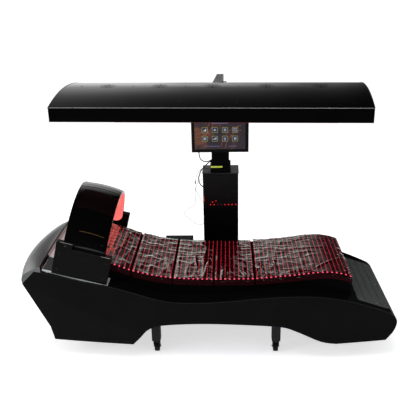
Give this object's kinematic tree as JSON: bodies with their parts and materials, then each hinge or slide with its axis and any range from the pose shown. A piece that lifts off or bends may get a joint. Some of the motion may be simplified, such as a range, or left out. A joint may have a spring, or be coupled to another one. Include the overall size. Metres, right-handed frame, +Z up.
{
  "type": "red_light_therapy_bed",
  "caption": "Red light therapy bed: wavy padded lounger on casters with a tipping arched hood, a column with a tilting screen and a swinging, height-adjustable light canopy.",
  "frame": {"origin": "Centre of the bounding box in plan, on the floor under the wheels, without the cables.", "axes": "+X along the bed from the head end to the foot step, +Y across the bed to the column, +Z up."},
  "size_m": [2.5216, 1.198, 1.774],
  "materials": {
    "satin_black_panel": "satin",
    "nose_grey": "gloss",
    "deck_black": "gloss",
    "frame_steel": "satin",
    "column_black": "satin",
    "fascia_black": "gloss",
    "wood_rib": "matte",
    "black_plastic": "matte",
    "tread_grey": "matte",
    "mattress_red": "matte",
    "hood_glow": "satin",
    "violet_glow": "satin",
    "status_glow": "satin",
    "canopy_black": "gloss",
    "light_panel_red": "satin",
    "wheel_black": "matte",
    "bright_steel": "satin",
    "display": "gloss",
    "cable_black": "matte",
    "cable_grey": "matte",
    "switch_red": "gloss"
  },
  "bodies": {
    "bed": {"base_frame": "frame_steel", "column_outrigger": "frame_steel", "caster_legs": "frame_steel", "side_panel_front": "satin_black_panel", "side_panel_rear": "satin_black_panel", "head_cowl": "nose_grey", "head_deck": "deck_black", "deck_board": "deck_black", "deck_ribs": "wood_rib", "bed_plinth": "black_plastic", "belly_pan": "black_plastic", "underglow_strips": "violet_glow", "tread_board": "deck_black", "tread_planks": "tread_grey", "foot_end_wall": "satin_black_panel", "side_control_box": "black_plastic", "mattress_head": "mattress_red", "mattress_shoulder": "mattress_red", "mattress_back": "mattress_red", "mattress_seat": "mattress_red", "mattress_leg": "mattress_red", "pedestal_front": "satin_black_panel", "pedestal_rear": "satin_black_panel", "column_base_plate": "column_black", "column_casing": "column_black", "column_fascia": "fascia_black", "column_cap": "column_black", "power_supply": "bright_steel", "power_inlet": "black_plastic", "pole_sleeve": "column_black", "pole_collar": "black_plastic", "status_strip": "status_glow", "actuator_body": "bright_steel", "screen_bracket": "column_black", "screen_cable": "cable_black", "side_cable": "cable_black", "thin_cable_upper": "cable_grey", "thin_cable_lower": "cable_grey", "cable_joiner": "black_plastic"},
    "lift": {"actuator_rod": "bright_steel", "lift_tube": "column_black", "swivel_bearing": "bright_steel"},
    "canopy": {"canopy_arm": "frame_steel", "canopy_shell": "canopy_black", "canopy_skirt": "canopy_black", "canopy_frame": "frame_steel", "canopy_light_panel": "light_panel_red"},
    "hood": {"hood_shell": "deck_black", "hood_diffuser": "hood_glow"},
    "screen": {"screen_housing": "black_plastic", "display_glass": "display"},
    "rocker": {"rocker_switch": "switch_red"},
    "fork_1": {"caster_fork_1": "frame_steel"},
    "wheel_1": {"caster_wheel_1": "wheel_black"},
    "fork_2": {"caster_fork_2": "frame_steel"},
    "wheel_2": {"caster_wheel_2": "wheel_black"},
    "fork_3": {"caster_fork_3": "frame_steel"},
    "wheel_3": {"caster_wheel_3": "wheel_black"},
    "fork_4": {"caster_fork_4": "frame_steel"},
    "wheel_4": {"caster_wheel_4": "wheel_black"}
  },
  "joints": [
    {"name": "canopy_lift", "type": "slide", "parent": "bed", "child": "lift", "axis": [0, 0, 1], "range_m": [-0.1, 0.2]},
    {"name": "canopy_swivel", "type": "hinge", "parent": "lift", "child": "canopy", "pos_m": [0.09335, 0.429, 1.7], "axis": [0, 0, 1], "range_deg": [-86.4, 93.6]},
    {"name": "hood_tilt", "type": "hinge", "parent": "bed", "child": "hood", "pos_m": [-0.88448, -0.149, 0.84222], "axis": [0, -1, 0], "range_deg": [0, 60]},
    {"name": "screen_tilt", "type": "hinge", "parent": "bed", "child": "screen", "pos_m": [0.09335, 0.339, 1.34], "axis": [1, 0, 0], "range_deg": [-15, 10]},
    {"name": "power_rocker", "type": "hinge", "parent": "bed", "child": "rocker", "pos_m": [0.09335, 0.552, 0.23], "axis": [1, 0, 0], "range_deg": [-16, 0]},
    {"name": "caster_swivel_1", "type": "hinge", "parent": "bed", "child": "fork_1", "pos_m": [-0.34565, -0.479, 0.09], "axis": [0, 0, 1], "continuous": true},
    {"name": "wheel_spin_1", "type": "hinge", "parent": "fork_1", "child": "wheel_1", "pos_m": [-0.34565, -0.457, 0.0375], "axis": [-1, 0, 0], "continuous": true},
    {"name": "caster_swivel_2", "type": "hinge", "parent": "bed", "child": "fork_2", "pos_m": [-0.34565, 0.181, 0.09], "axis": [0, 0, 1], "continuous": true},
    {"name": "wheel_spin_2", "type": "hinge", "parent": "fork_2", "child": "wheel_2", "pos_m": [-0.34565, 0.203, 0.0375], "axis": [-1, 0, 0], "continuous": true},
    {"name": "caster_swivel_3", "type": "hinge", "parent": "bed", "child": "fork_3", "pos_m": [0.47035, -0.479, 0.09], "axis": [0, 0, 1], "continuous": true},
    {"name": "wheel_spin_3", "type": "hinge", "parent": "fork_3", "child": "wheel_3", "pos_m": [0.47035, -0.457, 0.0375], "axis": [-1, 0, 0], "continuous": true},
    {"name": "caster_swivel_4", "type": "hinge", "parent": "bed", "child": "fork_4", "pos_m": [0.47035, 0.181, 0.09], "axis": [0, 0, 1], "continuous": true},
    {"name": "wheel_spin_4", "type": "hinge", "parent": "fork_4", "child": "wheel_4", "pos_m": [0.47035, 0.203, 0.0375], "axis": [-1, 0, 0], "continuous": true}
  ]
}
